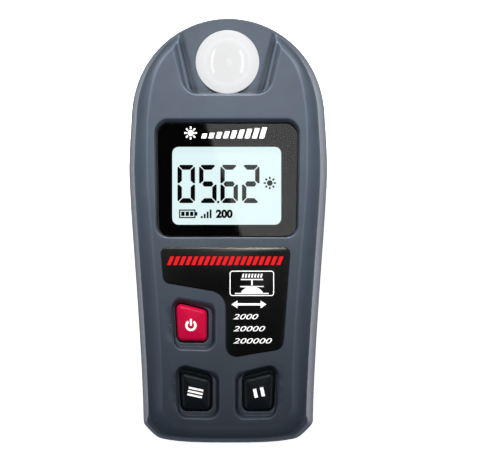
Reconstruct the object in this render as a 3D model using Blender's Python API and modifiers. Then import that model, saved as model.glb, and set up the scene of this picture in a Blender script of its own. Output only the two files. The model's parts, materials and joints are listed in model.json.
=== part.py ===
"""Handheld light meter with a fixed white dome sensor, an LCD, three keys and a rear battery door.

Frame: metres, +X to the right across the face, +Y along the body towards the sensor, +Z out of
the face. The origin is the middle of the flat back, so the meter lies on its back at z = 0.
Lengths below are written in millimetres times MM. Every sub-part is one object, and pieces that
rest on each other keep CLEAR between them.
"""

from math import acos, asin, cos, pi, radians, sin, tan

import bmesh
import bpy
from mathutils import Matrix, Vector
from mathutils.geometry import interpolate_bezier

MM = 0.001
CLEAR = 0.3 * MM

# Heights above the back.
FACE_Z = 26.0 * MM
EDGE_Z = 23.3 * MM
PART_Z = 12.5 * MM
SCOOP_Z = 23.1 * MM
CEILING_Z = 24.0 * MM
FLOOR_Z = 2.2 * MM

# The outline's half, from the top round the right side to the bottom, as Bezier knots:
# x, y, heading in degrees, reach of the handle behind and of the one ahead.
OUTER_KNOTS = (
    (0.0, 68.5, 0, 0.0, 8.2),
    (21.9, 59.4, -45, 8.2, 8.2),
    (31.2, 37.6, -87, 8.2, 6.0),
    (32.0, 20.0, -90, 6.0, 12.0),
    (27.4, -61.4, -91, 28.0, 1.0),
    (25.2, -64.6, -134, 2.0, 1.8),
    (21.4, -67.2, -168, 1.3, 6.0),
    (0.0, -68.5, -180, 9.0, 0.0),
)
# The edge of the flat face, with a knot for each of the outline's.
RIDGE_KNOTS = (
    (0.0, 64.8, 0, 0.0, 7.3),
    (19.0, 57.0, -48, 7.3, 6.5),
    (25.2, 40.0, -83, 6.5, 6.0),
    (25.7, 20.0, -90, 6.0, 12.0),
    (20.9, -55.0, -90, 26.0, 1.6),
    (19.2, -59.6, -134, 2.2, 1.8),
    (15.5, -61.8, -172, 1.5, 5.0),
    (0.0, -62.6, -180, 7.0, 0.0),
)
KNOT_STEPS = (5, 5, 3, 7, 3, 3, 4)
# How far the wall leans in at its top: the least at the ends, and this much more at the sides.
EDGE_LEAST = 0.75 * MM
EDGE_MORE = 1.35 * MM

# Sensor end.
DOME_Y = 54.5 * MM
DOME_R = 10.2 * MM
DOME_HOLE_R = 10.4 * MM
DOME_TOP_Z = 29.8 * MM
# The scoop's walls, from its floor up: low edge, half width there, lean of the sides, corner
# radius, and height. A slope, a narrow ledge and a step lead up to the face.
SCOOP_RINGS = (
    (44.4, 9.3, 0.27, 1.4, 23.1),
    (43.95, 12.0, 0.225, 3.0, 24.9),
    (43.8, 12.9, 0.22, 4.5, 25.1),
    (43.5, 13.9, 0.24, 6.0, 26.2),
    (43.5, 13.9, 0.24, 6.0, 29.0),
)
SCOOP_TOP_Y = 72.0

# Display.
LENS_TOP_Z = 25.0 * MM
LENS_BOTTOM_Z = 23.9 * MM
POCKET_Z = 23.2 * MM
LEDGE_Z = 21.8 * MM
LENS_CORNERS = ((22.6, 34.4, 3.9), (-22.6, 34.4, 3.9), (-22.0, -1.8, 3.4), (22.0, -1.8, 3.4))
RECESS_CORNERS = ((23.6, 36.1, 4.6), (-23.6, 36.1, 4.6), (-22.9, -2.2, 3.8), (22.9, -2.2, 3.8))
VIEW_CORNERS = ((17.3, 26.9, 2.0), (-17.7, 26.9, 2.0), (-17.7, 1.9, 2.0), (17.3, 1.9, 2.0))

# The printed label below the display, anticlockwise from its upper right corner.
LABEL_CORNERS = (
    (20.3, -5.5, 1.9),
    (-21.4, -5.5, 1.9),
    (-20.4, -16.6, 2.4),
    (-0.4, -20.1, 5.5),
    (-0.4, -41.0, 3.4),
    (17.9, -37.9, 3.2),
)
LABEL_POCKET_Z = 25.5 * MM

# Keys: the corners of the left-hand shape about its centre, and the well around it.
KEY_CORNERS = ((5.0, 4.2, 1.6), (-5.0, 6.1, 1.6), (-4.4, -6.0, 1.8), (5.0, -6.1, 1.6))
WELL_CORNERS = ((8.0, 6.1, 3.0), (-6.2, 8.6, 2.6), (-5.6, -8.9, 3.0), (8.0, -9.2, 3.4))
KEYS = {
    "power_key": (-11.5, -29.4, 1),
    "mode_key": (-10.2, -51.4, 1),
    "hold_key": (10.2, -51.4, -1),
}
WELL_Z = 25.0 * MM
KEY_TOP_Z = 26.4 * MM
KEY_BASE_Z = 18.8 * MM
KEY_FLANGE_Z = 19.7 * MM
COLLAR_Z = 20.0 * MM
PILL_R = 2.6 * MM

# Boards.
BOARD_LOW_Z, BOARD_HIGH_Z = 15.4 * MM, 16.7 * MM
SENSOR_BOARD_LOW_Z, SENSOR_BOARD_HIGH_Z = 14.4 * MM, 15.6 * MM
BOARD_POSTS = ((24.8, 35.0), (20.6, -36.0))
SENSOR_POSTS = ((13.6, 49.0),)
CASE_BOSSES = ((22.3, 43.0), (18.5, -60.8))

# Battery bay, for three AAA cells side by side, the middle one turned round.
CELL_R = 5.1 * MM
CELL_LENGTH = 44.5 * MM
CELL_PITCH = 11.1 * MM
CELL_Z = 7.2 * MM
BAY_HALF_WIDTH = 17.4 * MM
BAY_LOW_Y, BAY_HIGH_Y = -55.3 * MM, -4.4 * MM
BAY_CEILING_Z = 12.7 * MM
DOOR_HALF_WIDTH = 18.6 * MM
DOOR_LOW_Y, DOOR_HIGH_Y = -56.8 * MM, -3.0 * MM
DOOR_LOW_Z, DOOR_HIGH_Z = 0.1 * MM, 1.8 * MM
DOOR_PIVOT_Y = DOOR_LOW_Y - 0.2 * MM
TAB_XS = (-10.0 * MM, 10.0 * MM)
CONTACT_THICK = 0.4 * MM


# ---------------------------------------------------------------- scene and materials


def clear_scene():
    for obj in list(bpy.data.objects):
        bpy.data.objects.remove(obj)


def collection(name):
    made = bpy.data.collections.new(name)
    bpy.context.scene.collection.children.link(made)
    return made


def material(name, colour, roughness, metallic=0.0, alpha=1.0):
    made = bpy.data.materials.new(name)
    made.use_nodes = True
    made.diffuse_color = (*colour, alpha)
    shader = made.node_tree.nodes["Principled BSDF"]
    shader.inputs["Base Color"].default_value = (*colour, 1.0)
    shader.inputs["Roughness"].default_value = roughness
    shader.inputs["Metallic"].default_value = metallic
    shader.inputs["Alpha"].default_value = alpha
    return made


clear_scene()
PARTS = collection("light_meter")
CUTTERS = collection("light_meter_cutters")
CASE_GREY = material("case_grey", (0.105, 0.125, 0.16), 0.45)
BLACK = material("black_print", (0.006, 0.006, 0.007), 0.3)
CLEAR_PLASTIC = material("clear_plastic", (0.9, 0.95, 0.95), 0.05, alpha=0.35)
RED_RUBBER = material("red_rubber", (0.75, 0.004, 0.075), 0.4)
BLACK_RUBBER = material("black_rubber", (0.01, 0.01, 0.012), 0.55)
GREY_RUBBER = material("grey_rubber", (0.25, 0.26, 0.28), 0.6)
CARBON = material("carbon", (0.01, 0.01, 0.01), 0.7)
WHITE_DIFFUSER = material("white_diffuser", (0.86, 0.86, 0.85), 0.35)
WHITE_PLASTIC = material("white_plastic", (0.8, 0.8, 0.78), 0.5)
LCD_GLASS = material("lcd_glass", (0.72, 0.9, 0.88), 0.1)
GREEN_GLASS = material("filter_glass", (0.2, 0.45, 0.25), 0.05, alpha=0.6)
SILICON = material("silicon", (0.02, 0.02, 0.04), 0.15)
BOARD_GREEN = material("board_green", (0.02, 0.16, 0.06), 0.4)
EPOXY = material("epoxy_black", (0.01, 0.01, 0.01), 0.3)
STEEL = material("steel", (0.6, 0.6, 0.62), 0.3, metallic=1.0)
SPRING_STEEL = material("nickel_plate", (0.7, 0.68, 0.64), 0.25, metallic=1.0)
CELL_WRAP = material("cell_wrap", (0.1, 0.12, 0.14), 0.35)
WIRE_RED = material("wire_red", (0.6, 0.02, 0.02), 0.45)
WIRE_BLACK = material("wire_black", (0.015, 0.015, 0.015), 0.45)


def placed(name, mesh, look):
    obj = bpy.data.objects.new(name, mesh)
    obj.data.materials.append(look)
    PARTS.objects.link(obj)
    return obj


def set_origin(obj, point):
    """Moves the object's origin there and leaves its shape where it is."""
    obj.data.transform(Matrix.Translation(obj.location - Vector(point)))
    obj.location = point


def as_cutter(obj):
    """Turns a part into a helper, which isn't a part of the meter."""
    PARTS.objects.unlink(obj)
    CUTTERS.objects.link(obj)
    obj.hide_render = True
    obj.display_type = "WIRE"
    return obj


def combine(target, operation, helpers):
    for helper in helpers:
        change = target.modifiers.new(helper.name, "BOOLEAN")
        change.operation = operation
        change.object = as_cutter(helper)


def cut(target, *helpers):
    combine(target, "DIFFERENCE", helpers)


def fuse(target, *helpers):
    combine(target, "UNION", helpers)


def smooth(obj, angle=35):
    obj.data.shade_smooth()
    obj.data.set_sharp_from_angle(angle=radians(angle))
    return obj


# ---------------------------------------------------------------- flat outlines


def half_curve(knots):
    """Points along the Bezier knots, one knot after the other, without the last."""
    points = []
    for start, end, steps in zip(knots, knots[1:], KNOT_STEPS):
        ahead, behind = radians(start[2]), radians(end[2])
        a, d = Vector(start[:2]), Vector(end[:2])
        b = a + start[4] * Vector((cos(ahead), sin(ahead)))
        c = d - end[3] * Vector((cos(behind), sin(behind)))
        points += interpolate_bezier(a, b, c, d, steps + 1)[:-1]
    return [p * MM for p in points]


def whole_curve(knots):
    """The closed outline, anticlockwise: the half curve, its end, and their mirror image."""
    right = half_curve(knots)
    end = Vector(knots[-1][:2]) * MM
    left = [Vector((-p.x, p.y)) for p in right[1:]]
    return left + [end] + right[::-1]


OUTER = whole_curve(OUTER_KNOTS)
RIDGE = whole_curve(RIDGE_KNOTS)


def ring(inset):
    """The outline moved in towards the ridge by that much."""
    return [o + (r - o).normalized() * inset for o, r in zip(OUTER, RIDGE)]


def edge_ring(share=1.0):
    """The outline moved in by that share of the side's lean."""
    points = []
    for o, r in zip(OUTER, RIDGE):
        inward = (r - o).normalized()
        points.append(o + inward * (EDGE_LEAST + EDGE_MORE * inward.x**2) * share)
    return points


def ridge_ring(share, past=0.0):
    """Between the shoulder's lower edge (share 0) and the ridge (share 1), or past the ridge."""
    points = []
    for o, r, low in zip(OUTER, RIDGE, edge_ring()):
        points.append(low.lerp(r, share) + (r - o).normalized() * past)
    return points


def half_width(y):
    """Half the outline's width at that height up the body."""
    right = sorted((p for p in OUTER if p.x >= 0), key=lambda p: p.y)
    for low, high in zip(right, right[1:]):
        if low.y <= y <= high.y:
            return low.x + (high.x - low.x) * (y - low.y) / (high.y - low.y)
    return 0.0


def rounded(corners, grow=0.0, steps=4, at=(0.0, 0.0), side=1):
    """A polygon with round corners, given as (x, y, radius) in millimetres, anticlockwise.

    grow moves every edge outwards. side -1 mirrors the shape about its own centre line.
    """
    count = len(corners)
    base = [Vector(c[:2]) * MM for c in corners]
    outline = []
    for i, corner in enumerate(corners):
        before = (base[i] - base[i - 1]).normalized()
        after = (base[(i + 1) % count] - base[i]).normalized()
        turn = before.angle_signed(after)
        # Moving both edges outwards by grow moves the corner along their bisector.
        normal = Vector((before.y, -before.x)) + Vector((after.y, -after.x))
        tip = base[i] + normal.normalized() * grow / cos(turn / 2)
        convex = turn < 0
        radius = max(corner[2] * MM + (grow if convex else -grow), 0.2 * MM)
        reach = radius * tan(abs(turn) / 2)
        start, inward = tip - before * reach, Vector((-before.y, before.x))
        centre = start + inward * radius * (1 if convex else -1)
        for k in range(steps + 1):
            swing = Matrix.Rotation(abs(turn) * k / steps * (1 if convex else -1), 2)
            outline.append(centre + swing @ (start - centre))
    placed_at = Vector(at) * MM
    if side < 0:
        outline = [Vector((-p.x, p.y)) for p in reversed(outline)]
    return [p + placed_at for p in outline]


def rectangle(x0, y0, x1, y1, radius):
    """The corners of a rounded rectangle in millimetres, anticlockwise."""
    return ((x1, y1, radius), (x0, y1, radius), (x0, y0, radius), (x1, y0, radius))


def circle(centre, radius, steps=24):
    return [
        centre + radius * Vector((cos(2 * pi * k / steps), sin(2 * pi * k / steps)))
        for k in range(steps)
    ]


# ---------------------------------------------------------------- solids


def loft(name, rings, look):
    """A closed solid through rings of equally many points, each ((x, y) points, height)."""
    grid = bmesh.new()
    rows = [[grid.verts.new((p.x, p.y, z)) for p in points] for points, z in rings]
    for low, high in zip(rows, rows[1:]):
        for i in range(len(low)):
            grid.faces.new((low[i - 1], low[i], high[i], high[i - 1]))
    grid.faces.new(rows[0])
    grid.faces.new(rows[-1])
    bmesh.ops.recalc_face_normals(grid, faces=grid.faces)
    mesh = bpy.data.meshes.new(name)
    grid.to_mesh(mesh)
    grid.free()
    return smooth(placed(name, mesh, look))


def meshed(obj):
    """A mesh object in place of a curve object, with its caps welded on."""
    bpy.context.view_layer.update()
    evaluated = obj.evaluated_get(bpy.context.evaluated_depsgraph_get())
    mesh = bpy.data.meshes.new_from_object(evaluated)
    grid = bmesh.new()
    grid.from_mesh(mesh)
    bmesh.ops.remove_doubles(grid, verts=grid.verts, dist=0.001 * MM)
    grid.to_mesh(mesh)
    grid.free()
    name, world, look = obj.name, obj.matrix_world.copy(), obj.data.materials[0]
    bpy.data.objects.remove(obj)
    mesh.materials.clear()
    made = placed(name, mesh, look)
    made.matrix_world = world
    return made


def plate(name, outlines, low, high, look):
    """A flat plate between two heights. Outlines after the first are holes in it."""
    curve = bpy.data.curves.new(name, "CURVE")
    curve.dimensions = "2D"
    curve.fill_mode = "BOTH"
    curve.extrude = (high - low) / 2
    for outline in outlines:
        spline = curve.splines.new("POLY")
        spline.points.add(len(outline) - 1)
        for point, p in zip(spline.points, outline):
            point.co = (p.x, p.y, 0.0, 1.0)
        spline.use_cyclic_u = True
    obj = placed(name, curve, look)
    obj.location.z = (low + high) / 2
    return meshed(obj)


def box(name, low, high, look=CASE_GREY):
    """A box between two corners in millimetres."""
    low, high = Vector(low) * MM, Vector(high) * MM
    grid = bmesh.new()
    sizes = Matrix.Diagonal((*(high - low), 1.0))
    bmesh.ops.create_cube(grid, size=1.0, matrix=Matrix.Translation((low + high) / 2) @ sizes)
    mesh = bpy.data.meshes.new(name)
    grid.to_mesh(mesh)
    grid.free()
    return placed(name, mesh, look)


def cylinder(name, centre, radius, low, high, look=CASE_GREY, steps=16, top_radius=None):
    """An upright cylinder or cone about centre, between two heights."""
    grid = bmesh.new()
    middle = Matrix.Translation((centre[0], centre[1], (low + high) / 2))
    bmesh.ops.create_cone(
        grid,
        cap_ends=True,
        segments=steps,
        radius1=radius,
        radius2=radius if top_radius is None else top_radius,
        depth=high - low,
        matrix=middle,
    )
    mesh = bpy.data.meshes.new(name)
    grid.to_mesh(mesh)
    grid.free()
    return smooth(placed(name, mesh, look))


def turned(name, profile, look, steps=24, location=(0.0, 0.0, 0.0)):
    """A solid of revolution about Z. Its profile starts and ends on the axis, and runs down
    the outer side as (radius, height)."""
    mesh = bpy.data.meshes.new(name)
    edges = [(i, i + 1) for i in range(len(profile) - 1)]
    mesh.from_pydata([(r, 0.0, z) for r, z in profile], edges, [])
    obj = placed(name, mesh, look)
    obj.location = location
    spin = obj.modifiers.new("spin", "SCREW")
    spin.steps = steps
    spin.render_steps = steps
    spin.use_merge_vertices = True
    spin.merge_threshold = 0.01 * MM
    return obj


def tube(name, points, radius, look, resolution=1, smoothness=4):
    """A round wire along a smooth curve through the points, which are in millimetres."""
    knots = [Vector(p) * MM for p in points]
    line = []
    for i in range(len(knots) - 1):
        a, b = knots[i], knots[i + 1]
        lean_a = (knots[i + 1] - knots[max(i - 1, 0)]) / 6
        lean_b = (knots[min(i + 2, len(knots) - 1)] - knots[i]) / 6
        line += interpolate_bezier(a, a + lean_a, b - lean_b, b, smoothness + 1)[:-1]
    line.append(knots[-1])
    curve = bpy.data.curves.new(name, "CURVE")
    curve.dimensions = "3D"
    curve.bevel_depth = radius
    curve.bevel_resolution = resolution
    curve.use_fill_caps = True
    spline = curve.splines.new("POLY")
    spline.points.add(len(line) - 1)
    for point, p in zip(spline.points, line):
        point.co = (*p, 1.0)
    return placed(name, curve, look)


# ---------------------------------------------------------------- case


def scoop_cutter():
    """A V that widens towards the open top end, with stepped walls."""
    rings = []
    for low_y, half, lean, radius, height in SCOOP_RINGS:
        top = half + lean * (SCOOP_TOP_Y - low_y)
        corners = (
            (top, SCOOP_TOP_Y, 0.3),
            (-top, SCOOP_TOP_Y, 0.3),
            (-half, low_y, radius),
            (half, low_y, radius),
        )
        rings.append((rounded(corners), height * MM))
    return loft("scoop_cutter", rings, CASE_GREY)


def scoop_backing():
    """The thicker wall under the scoop, kept inside the case by an arc at its top end."""
    centre, reach = Vector((0.0, 37.5)) * MM, 28.3 * MM
    lean = 17.6 * MM
    edge = acos(lean / reach)
    arc = [
        centre + reach * Vector((cos(a), sin(a)))
        for a in (edge + (pi - 2 * edge) * k / 12 for k in range(13))
    ]
    foot = 41.3 * MM
    outline = arc + [Vector((-12.8 * MM, foot)), Vector((12.8 * MM, foot))]
    return plate("scoop_backing", [outline], 21.1 * MM, 24.6 * MM, CASE_GREY)


def posts(prefix, places, radius, low, high):
    """Upright posts at each place and its mirror image."""
    return [
        cylinder(f"{prefix}_{i}_{side}", (side * x * MM, y * MM), radius, low, high, steps=12)
        for i, (x, y) in enumerate(places)
        for side in (-1, 1)
    ]


def key_place(name):
    x, y, side = KEYS[name]
    return {"at": (x, y), "side": side}


def make_front_shell():
    outer = [(ring(0.0), PART_Z)]
    # The side leans in as it rises: inset grows with the square of the height.
    for z in (15.5, 18.5, 21.0, 22.4):
        rise = (z * MM - PART_Z) / (EDGE_Z - PART_Z)
        outer.append((edge_ring(rise**2), z * MM))
    outer.append((edge_ring(), EDGE_Z))
    outer.append((ridge_ring(0.55), EDGE_Z + 1.1 * MM))
    outer.append((ridge_ring(0.9), FACE_Z - 0.4 * MM))
    outer.append((ridge_ring(1.0, 0.5 * MM), FACE_Z))
    shell = loft("front_shell", outer, CASE_GREY)
    rebate_z = PART_Z + 1.4 * MM
    hollow = (
        (ring(1.1 * MM), PART_Z - 1 * MM),
        (ring(1.1 * MM), rebate_z),
        (ring(2.3 * MM), rebate_z + 0.01 * MM),
        (ring(2.8 * MM), 20.4 * MM),
        (ring(4.0 * MM), 21.8 * MM),
        (ridge_ring(1.0, 1.3 * MM), CEILING_Z),
    )
    cut(shell, loft("front_hollow", hollow, CASE_GREY))
    lens_frame = plate(
        "lens_frame", [rounded(LENS_CORNERS, 1.6 * MM)], LEDGE_Z, CEILING_Z + 0.6 * MM, CASE_GREY
    )
    collars = [
        plate(
            f"{name}_collar",
            [rounded(KEY_CORNERS, 1.7 * MM, steps=2, **key_place(name))],
            COLLAR_Z,
            CEILING_Z + 0.6 * MM,
            CASE_GREY,
        )
        for name in KEYS
    ]
    inner_top = CEILING_Z + 0.6 * MM
    case_posts = posts("case_post", CASE_BOSSES, 2.9 * MM, 8.0 * MM, 23.6 * MM)
    board_posts = posts("board_post", BOARD_POSTS, 2.1 * MM, BOARD_HIGH_Z + CLEAR, inner_top)
    sensor_low = SENSOR_BOARD_HIGH_Z + CLEAR
    sensor_posts = posts("sensor_post", SENSOR_POSTS, 2.0 * MM, sensor_low, 21.6 * MM)
    fuse(shell, scoop_backing(), lens_frame, *collars, *case_posts, *board_posts, *sensor_posts)
    cut(shell, scoop_cutter())
    cut(shell, cylinder("dome_hole", (0, DOME_Y), DOME_HOLE_R, 19 * MM, 25 * MM, steps=32))
    cut_lens_pocket(shell)
    cut_label_pocket(shell)
    cut_key_wells(shell)
    cut(shell, *posts("case_pilot", CASE_BOSSES, 1.3 * MM, 7.0 * MM, 18.0 * MM))
    cut(shell, *posts("board_pilot", BOARD_POSTS, 1.2 * MM, 16.0 * MM, 22.4 * MM))
    cut(shell, *posts("sensor_pilot", SENSOR_POSTS, 1.2 * MM, 15.0 * MM, 20.4 * MM))


def cut_lens_pocket(shell):
    """The pocket that the display window lies in, with sloping sides, and the hole under it."""
    sides = (
        (rounded(LENS_CORNERS, 0.3 * MM), POCKET_Z),
        (rounded(LENS_CORNERS, 0.3 * MM), LENS_TOP_Z),
        (rounded(RECESS_CORNERS), FACE_Z + 0.1 * MM),
    )
    cut(shell, loft("lens_pocket", sides, CASE_GREY))
    hole = rounded(VIEW_CORNERS, 1.0 * MM)
    cut(shell, plate("view_hole", [hole], 20 * MM, 24 * MM, CASE_GREY))


def cut_label_pocket(shell):
    outline = rounded(LABEL_CORNERS, 0.2 * MM)
    cut(shell, plate("label_pocket", [outline], LABEL_POCKET_Z, FACE_Z + 1 * MM, CASE_GREY))


def cut_key_wells(shell):
    for name in KEYS:
        place = key_place(name)
        well = (
            (rounded(WELL_CORNERS, -0.9 * MM, **place), WELL_Z),
            (rounded(WELL_CORNERS, 0.2 * MM, **place), FACE_Z + 0.2 * MM),
        )
        cut(shell, loft(f"{name}_well", well, CASE_GREY))
        hole = rounded(KEY_CORNERS, 0.35 * MM, **place)
        cut(shell, plate(f"{name}_hole", [hole], 18 * MM, 27 * MM, CASE_GREY))


def make_rear_shell():
    seam = PART_Z - CLEAR
    outer = [
        (ring(4.3 * MM), 0.0),
        (ring(3.0 * MM), 0.4 * MM),
        (ring(1.7 * MM), 1.4 * MM),
        (ring(0.8 * MM), 3.2 * MM),
        (ring(0.2 * MM), 6.5 * MM),
        (ring(0.0), seam),
        (ring(1.4 * MM), seam + 0.01 * MM),
        (ring(1.4 * MM), seam + 1.3 * MM),
    ]
    shell = loft("rear_shell", outer, CASE_GREY)
    hollow = (
        (ring(5.0 * MM), FLOOR_Z),
        (ring(3.2 * MM), 3.2 * MM),
        (ring(2.4 * MM), 6.5 * MM),
        (ring(2.2 * MM), 16 * MM),
    )
    cut(shell, loft("rear_hollow", hollow, CASE_GREY))
    tray = box("battery_tray", (-20.9, -57.3, 1.0), (20.9, -0.8, 13.7))
    fuse(shell, tray, *posts("rear_boss", CASE_BOSSES, 3.7 * MM, 1.6 * MM, 7.7 * MM))
    bay = rectangle(-BAY_HALF_WIDTH / MM, BAY_LOW_Y / MM, BAY_HALF_WIDTH / MM, BAY_HIGH_Y / MM, 0.4)
    cut(shell, plate("battery_bay", [rounded(bay, steps=1)], -1 * MM, BAY_CEILING_Z, CASE_GREY))
    opening = rounded(door_corners(), CLEAR, steps=3)
    cut(shell, plate("door_opening", [opening], -1 * MM, DOOR_HIGH_Z + CLEAR, CASE_GREY))
    for i, x in enumerate(TAB_XS):
        low = (x / MM - 3.0, DOOR_LOW_Y / MM - 2.3, 0.9)
        cut(shell, box(f"tab_slot_{i}", low, (x / MM + 3.0, DOOR_LOW_Y / MM + 1.0, 2.6)))
    # Open the tray's two ends for the tongues of the end contacts.
    cut(shell, box("tongue_slot_high", (-13.0, -5.0, 8.4), (-9.2, 0.0, 11.0)))
    cut(shell, box("tongue_slot_low", (9.2, -61.0, 8.4), (13.0, -55.0, 11.0)))
    cut(shell, *posts("head_seat", CASE_BOSSES, 2.75 * MM, -1 * MM, 4.0 * MM))
    cut(shell, *posts("boss_bore", CASE_BOSSES, 1.4 * MM, 3.0 * MM, 9.0 * MM))
    cut(shell, cylinder("thumb_recess", (0, DOOR_HIGH_Y), 7.0 * MM, -1 * MM, 1.0 * MM, steps=24))


def door_corners():
    half, low, high = DOOR_HALF_WIDTH / MM, DOOR_LOW_Y / MM, DOOR_HIGH_Y / MM
    return rectangle(-half, low, half, high, 2.7)


def make_battery_door():
    door = plate(
        "battery_door", [rounded(door_corners(), steps=3)], DOOR_LOW_Z, DOOR_HIGH_Z, CASE_GREY
    )
    low_y = DOOR_LOW_Y / MM
    tabs = [
        box(f"door_tab_{i}", (x / MM - 2.5, low_y - 1.4, 1.2), (x / MM + 2.5, low_y + 1.0, 1.75))
        for i, x in enumerate(TAB_XS)
    ]
    set_origin(door, (0.0, DOOR_PIVOT_Y, 0.0))
    fuse(door, *tabs)
    for i in range(3):
        y = DOOR_HIGH_Y / MM - 4.0 - 1.8 * i
        cut(door, box(f"grip_groove_{i}", (-6.5, y - 0.4, -1.0), (6.5, y + 0.4, 0.6)))


def screw_profile(head_r, head_low, head_high, shaft_r, tip_z):
    """A screw whose head is below and whose point is above, from its top down."""
    point = 1.0 * MM
    return [
        (0.0, tip_z),
        (shaft_r * 0.35, tip_z),
        (shaft_r, tip_z - point),
        (shaft_r, head_high),
        (head_r, head_high),
        (head_r, head_low + 0.4 * MM),
        (head_r - 0.4 * MM, head_low),
        (0.0, head_low),
    ]


def make_screws():
    """Case screws enter from the back; board screws hold the two boards to the front shell."""
    sets = (
        ("case_screw", CASE_BOSSES, (2.3 * MM, 1.9 * MM, 3.7 * MM, 1.0 * MM, 15.5 * MM)),
        ("board_screw", BOARD_POSTS, (2.1 * MM, 14.1 * MM, 15.1 * MM, 0.9 * MM, 21.6 * MM)),
        ("sensor_screw", SENSOR_POSTS, (1.9 * MM, 13.0 * MM, 14.1 * MM, 0.8 * MM, 19.6 * MM)),
    )
    for prefix, places, sizes in sets:
        for i, (x, y) in enumerate((side * x, y) for x, y in places for side in (-1, 1)):
            where = (x * MM, y * MM, 0.0)
            screw = turned(f"{prefix}_{i + 1}", screw_profile(*sizes), STEEL, 10, where)
            head_z = sizes[1] / MM
            for k, (dx, dy) in enumerate(((1.4, 0.35), (0.35, 1.4))):
                low, high = (x - dx, y - dy, head_z - 1.0), (x + dx, y + dy, head_z + 0.7)
                cut(screw, box(f"{prefix}_{i + 1}_slot_{k}", low, high))


# ---------------------------------------------------------------- face


def make_window():
    lens = rounded(LENS_CORNERS)
    plate("display_window", [lens], LENS_BOTTOM_Z, LENS_TOP_Z, CLEAR_PLASTIC)
    inside = rounded(VIEW_CORNERS)
    plate("window_mask", [rounded(LENS_CORNERS, -0.1 * MM), inside], 23.45 * MM, 23.65 * MM, BLACK)
    plate("function_label", [rounded(LABEL_CORNERS)], 25.75 * MM, 25.95 * MM, BLACK)


def make_keys():
    """Each key: a flange inside the case, a stem through the collar and a pillowed top."""
    levels = (
        (1.1, KEY_BASE_Z),
        (1.1, KEY_FLANGE_Z),
        (0.0, KEY_FLANGE_Z + 0.01 * MM),
        (0.0, KEY_TOP_Z - 1.1 * MM),
        (-0.25, KEY_TOP_Z - 0.5 * MM),
        (-0.9, KEY_TOP_Z - 0.15 * MM),
        (-2.4, KEY_TOP_Z),
    )
    looks = {"power_key": RED_RUBBER, "mode_key": BLACK_RUBBER, "hold_key": BLACK_RUBBER}
    for name in KEYS:
        place = key_place(name)
        rings = [(rounded(KEY_CORNERS, grow * MM, **place), z) for grow, z in levels]
        key = loft(name, rings, looks[name])
        centre = Vector((*KEYS[name][:2], 0.0)) * MM
        pill_high = KEY_BASE_Z - CLEAR
        pill_name = name.replace("key", "pill")
        pill = cylinder(pill_name, centre, PILL_R, pill_high - 0.6 * MM, pill_high, CARBON, 16)
        set_origin(key, centre)
        set_origin(pill, centre)
    holes = [circle(Vector(KEYS[name][:2]) * MM, 4.4 * MM, 20) for name in KEYS]
    sheet = rounded(rectangle(-18.0, -57.0, 18.0, -22.0, 2.0), steps=3)
    low = BOARD_HIGH_Z + CLEAR
    plate("keypad_sheet", [sheet, *holes], low, low + 0.6 * MM, GREY_RUBBER)


# ---------------------------------------------------------------- sensor


def make_sensor():
    cap_r = (DOME_R**2 + (DOME_TOP_Z - SCOOP_Z) ** 2) / (2 * (DOME_TOP_Z - SCOOP_Z))
    cap_z = DOME_TOP_Z - cap_r
    edge = asin(DOME_R / cap_r)
    foot_z, wall = 19.6 * MM, 1.5 * MM
    outside = [(cap_r * sin(edge * k / 7), cap_z + cap_r * cos(edge * k / 7)) for k in range(8)]
    inner_r = cap_r - wall
    inner_edge = asin((DOME_R - wall) / inner_r)
    inside = [
        (inner_r * sin(inner_edge * k / 5), cap_z + inner_r * cos(inner_edge * k / 5))
        for k in range(6)
    ]
    profile = outside + [(DOME_R, foot_z), (DOME_R - wall, foot_z)] + inside[::-1]
    dome = turned("sensor_dome", profile, WHITE_DIFFUSER, 24, (0.0, DOME_Y, 0.0))
    middle = Vector((0.0, DOME_Y))
    y = DOME_Y / MM
    ears = [box("ear_left", (-12.9, y - 3.4, 19.7), (-9.2, y + 3.4, 20.8))]
    ears.append(box("ear_right", (9.2, y - 3.4, 19.7), (12.9, y + 3.4, 20.8)))
    fuse(dome, *ears)
    low = SENSOR_BOARD_HIGH_Z + CLEAR
    cup = [circle(middle, 10.2 * MM), circle(middle, 7.0 * MM)]
    plate("sensor_holder", cup, low, 19.3 * MM, BLACK)
    cylinder("colour_filter", middle, 6.6 * MM, 17.8 * MM, 18.8 * MM, GREEN_GLASS, 24)
    box("photodiode", (-3.8, y - 3.8, low / MM), (3.8, y + 3.8, low / MM + 1.5), SILICON)
    board = rounded(rectangle(-16.2, 46.2, 16.2, 62.4, 4.0), steps=3)
    holes = screw_holes(SENSOR_POSTS, 1.1 * MM)
    plate("sensor_board", [board, *holes], SENSOR_BOARD_LOW_Z, SENSOR_BOARD_HIGH_Z, BOARD_GREEN)
    for name, x, look in (("red", 5.4, WIRE_RED), ("black", 7.6, WIRE_BLACK)):
        upper = ((x + 2.6, 47.2, 16.6), (x + 2.3, 43.6, 18.0))
        lower = ((x + 1.0, 40.0, 18.7), (x, 36.6, 17.7))
        tube(f"sensor_wire_{name}", upper + lower, 0.6 * MM, look)


# ---------------------------------------------------------------- boards and display


def screw_holes(places, radius):
    """A hole at each place and at its mirror image."""
    return [
        circle(Vector((side * x, y)) * MM, radius, 12) for x, y in places for side in (-1, 1)
    ]


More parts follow.
